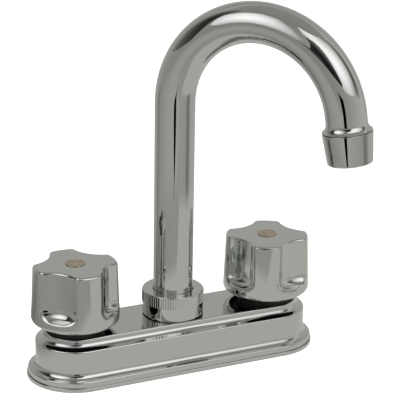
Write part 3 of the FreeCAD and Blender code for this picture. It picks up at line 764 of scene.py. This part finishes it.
def paper(material):
    """Bright sheet under the faucet as the plate mirrors it; it fades into the tent at its uneven edge."""
    columns, rows, level = 120, 40, 0.57
    inner, reach, lift = 10, 420.0, -0.1
    points, levels = [], []
    for j in range(rows + 1):
        radius = inner + (reach - inner) * j / rows
        for k in range(columns):
            azimuth = 360 * k / columns - 180
            edge = between(azimuth, [(-180, 90), (-130, 80), (-60, 122), (-7, 134), (7, 245), (110, 250),
                                     (180, 90)])
            share = between(radius / edge, [(0.0, 0.0), (0.88, 0.0), (1.12, 1.0), (90, 1.0)])
            shade = between(azimuth, [(-180, 0.0), (-140, 0.07), (-7, 0.09), (5, 0.0), (180, 0.0)])
            shade *= between(radius / edge, [(0.0, 0.0), (0.9, 0.0), (1.15, 1.0), (1.6, 1.0), (2.6, 0.0),
                                             (90, 0.0)])
            points.append(toward(azimuth, 0, radius * MM) + Vector((0, 0, lift * MM)))
            levels.append(level + (tent_level(azimuth, -17) - level) * share - shade)
    faces = round_faces(columns, rows)
    faces.append(tuple(range(columns)))
    cloth("paper", material, points, faces, levels)


def panel(name, material, middle, corners, distance, seen_from=(0, 0, 0)):
    """A panel at that distance in metres from a point in millimetres. Its middle and each corner are
    (azimuth, elevation, level) as seen from that point."""
    count, rings, cuts = len(corners), 10, 6
    start_point = Vector(seen_from) * MM
    centre = Vector(middle)
    outline = []
    for k in range(count):
        start, end = Vector(corners[k]), Vector(corners[(k + 1) % count])
        outline += [start.lerp(end, cut / cuts) for cut in range(cuts)]
    points, levels = [start_point + toward(centre.x, centre.y, distance)], [centre.z]
    for j in range(1, rings + 1):
        for rim in outline:
            spot = centre.lerp(rim, j / rings)
            points.append(start_point + toward(spot.x, spot.y, distance))
            levels.append(centre.z + (rim.z - centre.z) * (j / rings) ** 1.5)
    size = len(outline)
    faces = [(0, 1 + k, 1 + (k + 1) % size) for k in range(size)]
    for j in range(rings - 1):
        for k in range(size):
            m = (k + 1) % size
            low, high = 1 + j * size, 1 + (j + 1) * size
            faces.append((low + k, high + k, high + m, low + m))
    cloth(name, material, points, faces, levels)


def studio():
    """A grey tent with soft boxes and dark openings round the faucet; the white floor and backdrop come from
    floor().
    """
    grey = glow("tent_cloth", linear("FFFEFA"))
    white_cloth = glow("soft_box_cloth", linear("FFFBFE"))
    arch_left, arch_right = (5, -7, 150), (51, -69, 150)
    tent(grey)
    paper(grey)
    panel("left_soft_box", white_cloth, (-82, 33, 1.62),
          [(-84, 6, 0.6), (-70, 9, 0.75), (-56, 14, 0.5), (-46, 26, 0.45), (-46, 44, 0.5), (-56, 60, 0.5),
           (-84, 60, 0.9), (-100, 52, 1.1), (-112, 40, 0.9), (-106, 28, 0.9), (-96, 16, 1.0)], 0.55, arch_left)
    panel("right_soft_box", white_cloth, (6, 38, 1.6),
          [(-10, 12, 0.7), (4, 12, 0.85), (28, 12, 0.9), (46, 12, 0.5), (60, 20, 0.45), (64, 40, 0.5), (58, 56, 0.6),
           (40, 66, 0.6), (10, 68, 0.9), (-12, 67, 1.2), (-42, 66, 1.1), (-42, 50, 0.8), (-16, 46, 1.1),
           (-13, 30, 1.0)], 0.55, arch_right)
    panel("left_opening", grey, (-125, 36, 0.03),
          [(-94, 1, 0.05), (-98, 10, 0.04), (-104, 22, 0.05), (-114, 40, 0.05), (-112, 52, 0.12), (-122, 60, 0.3),
           (-138, 56, 0.3), (-150, 40, 0.4), (-154, 20, 0.45), (-148, 6, 0.4), (-120, 5, 0.15)],
          0.5, arch_left)
    panel("camera_opening", grey, (-33, 26, 0.012),
          [(-66, 12, 0.12), (-54, 18, 0.02), (-44, 34, 0.03), (-42, 46, 0.1), (-26, 50, 0.3), (-18, 46, 0.3),
           (-14, 30, 0.2), (-8, 16, 0.05), (-14, 13, 0.04), (-34, 12.5, 0.01)], 0.5, arch_right)
    panel("right_opening", grey, (72, 24, 0.12),
          [(50, 12, 0.3), (60, 30, 0.3), (62, 52, 0.4), (72, 60, 0.3), (84, 50, 0.3), (82, 30, 0.3), (78, 8, 0.35),
           (64, 6, 0.35)], 0.5, arch_right)
    panel("back_wall", grey, (150, 20, 0.48),
          [(92, -4, 0.5), (90, 36, 0.46), (104, 46, 0.38), (150, 48, 0.3), (190, 46, 0.3), (206, 34, 0.38),
           (204, -10, 0.46), (150, -14, 0.48)], 2.6)
    slit_azimuth = -25.0
    slit = [(240, 0.4, 3), (278, 0.4, 12), (310, 0.4, 32), (350, 0.4, 62), (406, 0.4, 92), (470, 10, 110),
            (470, 150, 115)]
    points = []
    for distance, height, width in slit:
        for side in (-0.5, 0.5):
            spot = toward(slit_azimuth, 0, distance * MM) + toward(slit_azimuth + 90, 0, side * width * MM)
            points.append(spot + Vector((0, 0, height * MM)))
    faces = [(2 * k, 2 * k + 1, 2 * k + 3, 2 * k + 2) for k in range(len(slit) - 1)]
    gap = cloth("tent_slit", grey, points, faces, [0.0] * len(points))
    gap.visible_diffuse = False  # it shows in the plate only and throws no grey on the floor


def floor():
    """Pale floor just under the foot of the cover, lit from within like a light table."""
    material = bpy.data.materials.new("white_floor")
    material.use_nodes = True
    shader = material.node_tree.nodes["Principled BSDF"]
    shader.inputs["Base Color"].default_value = linear("F2F2F0")
    shader.inputs["Roughness"].default_value = 0.9
    shader.inputs["Emission Color"].default_value = linear("FFFFFF")
    shader.inputs["Emission Strength"].default_value = 0.8
    size, level = 6.0, -0.0002
    mesh = bpy.data.meshes.new("floor")
    mesh.from_pydata([(-size, -size, level), (size, -size, level), (size, size, level), (-size, size, level)],
                     [], [(0, 1, 2, 3)])
    mesh.materials.append(material)
    piece = bpy.data.objects.new("floor", mesh)
    bpy.context.scene.collection.objects.link(piece)
    piece.visible_glossy = False
    world = bpy.data.worlds.new("white_backdrop")
    world.use_nodes = True
    world.node_tree.nodes["Background"].inputs["Color"].default_value = linear("FFFFFF")
    world.node_tree.nodes["Background"].inputs["Strength"].default_value = 1.05
    bpy.context.scene.world = world
    bpy.context.scene.view_settings.view_transform = "Standard"


def camera():
    """Long lens from the front left, a little above, as the photograph was taken."""
    azimuth, elevation, roll = -26.099, 19.266, 0.973
    location = Vector((-349.97, -742.59, 367.60)) * MM
    focal_length = 164.41
    data = bpy.data.cameras.new("camera")
    data.lens = focal_length
    data.sensor_width = 36.0
    data.clip_start, data.clip_end = 0.05, 50.0
    piece = bpy.data.objects.new("camera", data)
    bpy.context.scene.collection.objects.link(piece)
    look = -toward(azimuth, elevation, 1.0)
    turn = look.to_track_quat("-Z", "Y").to_matrix().to_4x4()
    piece.matrix_world = Matrix.Translation(location) @ turn @ Matrix.Rotation(math.radians(roll), 4, "Z")
    bpy.context.scene.camera = piece


dress_nodes()
base_cover()
knobs()
index_buttons()
lock_rings()
spout_nut()
spout_tube()
outlet()
shank_threads()
studio()
floor()
camera()
